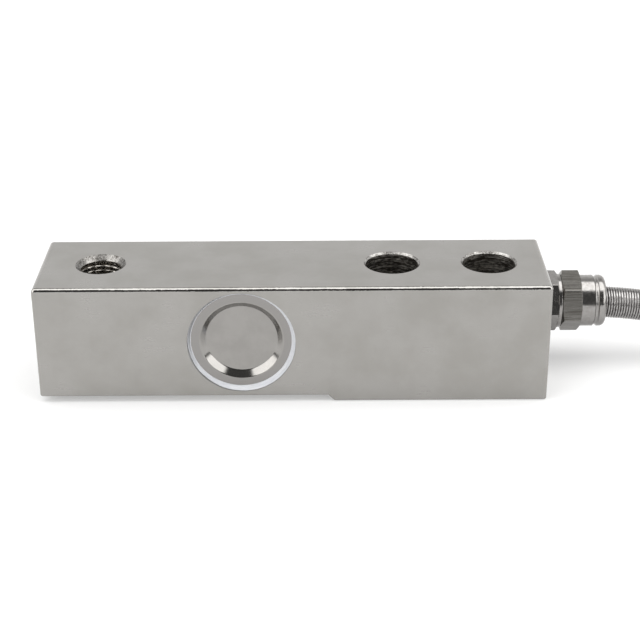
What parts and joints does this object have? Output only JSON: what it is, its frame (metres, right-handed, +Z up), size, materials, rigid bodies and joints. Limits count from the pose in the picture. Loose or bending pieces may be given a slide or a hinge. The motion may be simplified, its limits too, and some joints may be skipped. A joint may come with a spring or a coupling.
{
  "type": "shear beam load cell",
  "caption": "Nickel-plated shear beam load cell: square bar with mounting holes, a threaded load hole, sealed gauge pockets, a cable gland with a spring sleeve and its cable in a tied hank.",
  "frame": {"origin": "midway between the two mounting holes' axes, on the underside of the clamped pad", "axes": "+X along the bar towards the cable end, +Y towards the rear cover, +Z up through the mounting holes"},
  "size_m": [0.3882, 0.0547, 0.0318],
  "materials": {
    "nickel_steel": "satin electroless nickel over ground alloy steel, faint rolling and grinding marks",
    "cover_sheet": "thin stainless sheet, drawn, satin and slightly blotchy floor",
    "sealant": "glossy grey potting compound",
    "gauge_film": "amber polyimide film, slightly glossy",
    "gauge_foil": "etched constantan foil, satin",
    "wiring_board": "glass fibre board with green lacquer",
    "copper_pad": "bright copper with a thin tin film",
    "solder": "bright solder",
    "resistor": "black chip resistor, satin",
    "enamelled_wire": "enamelled copper wire",
    "bridge_insulation": "white fluoropolymer sleeve, satin",
    "insulation_red": "red wire insulation, satin",
    "insulation_black": "black wire insulation, satin",
    "insulation_green": "green wire insulation, satin",
    "insulation_white": "white wire insulation, satin",
    "seal_rubber": "black nitrile rubber, matte",
    "gland_metal": "nickel-plated turned brass, fine turning marks",
    "washer_metal": "plain turned brass",
    "spring_wire": "bright drawn stainless wire",
    "cable_sheath": "dark grey polyvinyl sheath, satin",
    "tie_nylon": "black nylon, satin",
    "shield_strand": "tinned copper strands twisted together"
  },
  "bodies": {
    "root": {"beam_body": "nickel_steel", "front_cover": "cover_sheet", "front_sealant": "sealant", "front_gauge_carrier": "gauge_film", "front_gauge_foil": "gauge_foil", "front_terminal_strip": "wiring_board", "front_terminal_pads": "copper_pad", "front_gauge_leads": "enamelled_wire", "rear_cover": "cover_sheet", "rear_sealant": "sealant", "rear_gauge_carrier": "gauge_film", "rear_gauge_foil": "gauge_foil", "rear_wiring_board": "wiring_board", "rear_board_pads": "copper_pad", "rear_solder_joints": "solder", "rear_trim_resistors": "resistor", "rear_gauge_leads": "enamelled_wire", "bridge_wires": "bridge_insulation", "conductor_red": "insulation_red", "conductor_black": "insulation_black", "conductor_green": "insulation_green", "conductor_white": "insulation_white", "gland_seal_ring": "seal_rubber", "gland_body": "gland_metal", "gland_grommet": "seal_rubber", "gland_slip_washer": "washer_metal", "gland_cap_nut": "gland_metal", "strain_relief_spring": "spring_wire", "cable_jacket": "cable_sheath", "cable_coil": "cable_sheath", "cable_tail": "cable_sheath", "coil_tie": "tie_nylon", "lead_red": "insulation_red", "lead_black": "insulation_black", "lead_green": "insulation_green", "lead_white": "insulation_white", "shield_pigtail": "shield_strand"}
  },
  "joints": []
}
